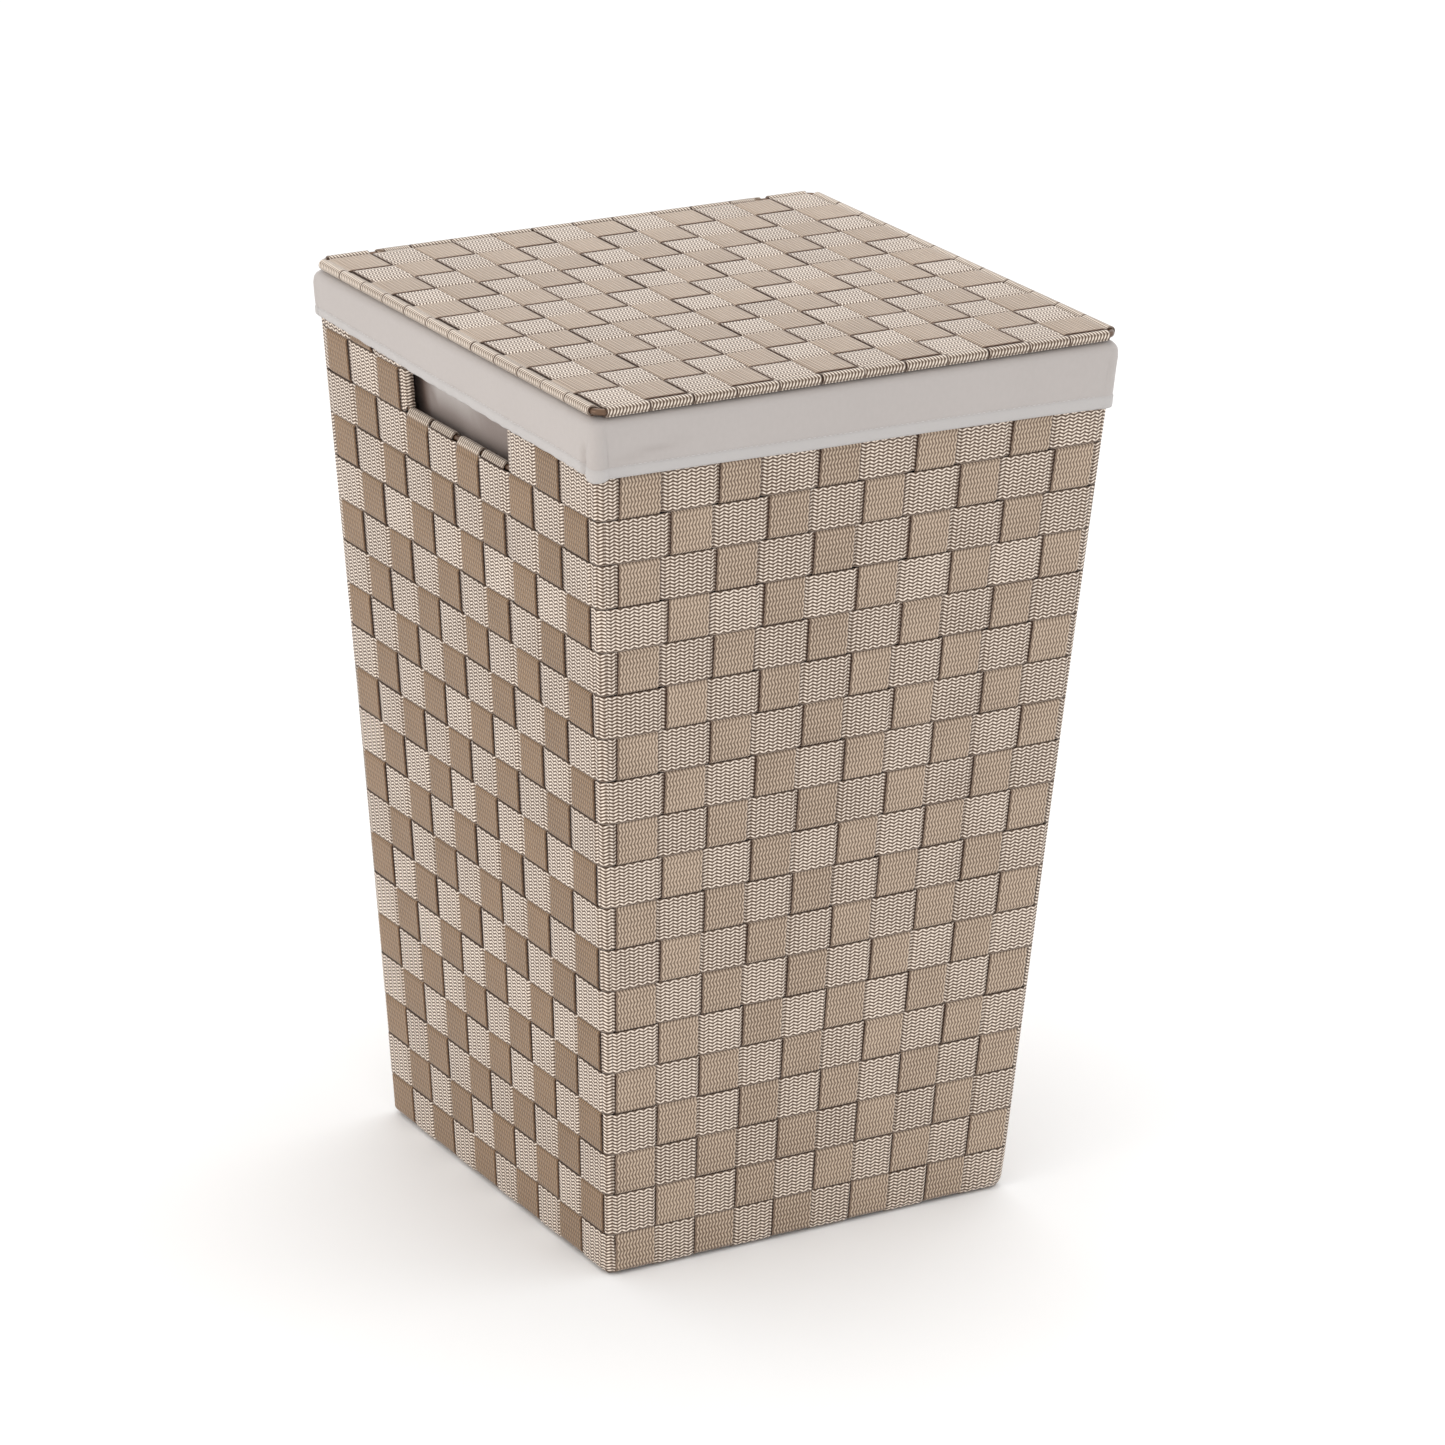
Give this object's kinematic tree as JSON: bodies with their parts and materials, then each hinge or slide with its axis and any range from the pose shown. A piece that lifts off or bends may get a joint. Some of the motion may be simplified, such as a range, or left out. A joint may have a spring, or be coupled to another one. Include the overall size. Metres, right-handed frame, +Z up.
{
  "type": "woven laundry hamper",
  "caption": "Tapered square hamper of webbing straps woven over a wire frame, with a hinged woven lid, a fabric liner folded over the rim and a handle hole in each side.",
  "frame": {"origin": "centre of the underside, on the floor", "axes": "+Z up; -Y is the front; the lid's hinge is on the +Y side; the handle holes are in the -X and +X faces"},
  "size_m": [0.3218, 0.3219, 0.513],
  "materials": {
    "webbing": "woven synthetic webbing with a soft sheen",
    "wire": "bronze-brown enamel, satin",
    "liner": "plain cotton, matt"
  },
  "bodies": {
    "basket": {"rim_wire": "wire", "base_wire": "wire", "corner_post_front_left": "wire", "corner_post_front_right": "wire", "corner_post_back_left": "wire", "corner_post_back_right": "wire", "handle_wire_left": "wire", "handle_wire_right": "wire", "side_upright_01": "webbing", "side_upright_02": "webbing", "side_upright_03": "webbing", "side_upright_04": "webbing", "side_upright_05": "webbing", "side_upright_06": "webbing", "side_upright_07": "webbing", "side_upright_08": "webbing", "side_upright_09": "webbing", "side_upright_10": "webbing", "front_upright_01": "webbing", "front_upright_02": "webbing", "front_upright_03": "webbing", "front_upright_04": "webbing", "front_upright_05": "webbing", "front_upright_06": "webbing", "front_upright_07": "webbing", "front_upright_08": "webbing", "front_upright_09": "webbing", "front_upright_10": "webbing", "band_01": "webbing", "band_02": "webbing", "band_03": "webbing", "band_04": "webbing", "band_05": "webbing", "band_06": "webbing", "band_07": "webbing", "band_08": "webbing", "band_09": "webbing", "band_10": "webbing", "band_11": "webbing", "band_12": "webbing", "band_13": "webbing", "band_14": "webbing", "band_15": "webbing", "band_16": "webbing", "band_17": "webbing", "band_18": "webbing", "band_19_front": "webbing", "band_19_back": "webbing", "band_20_front": "webbing", "band_20_back": "webbing", "liner_bag": "liner", "liner_cuff": "liner", "hinge_loop_left": "webbing", "hinge_loop_right": "webbing"},
    "lid": {"lid_wire": "wire", "lid_straps_lengthwise": "webbing", "lid_straps_crosswise": "webbing"}
  },
  "joints": [
    {"name": "lid_hinge", "type": "hinge", "parent": "basket", "child": "lid", "pos_m": [0, 0.1571, 0.5091], "axis": [-1, 0, 0], "range_deg": [0, 180]}
  ]
}
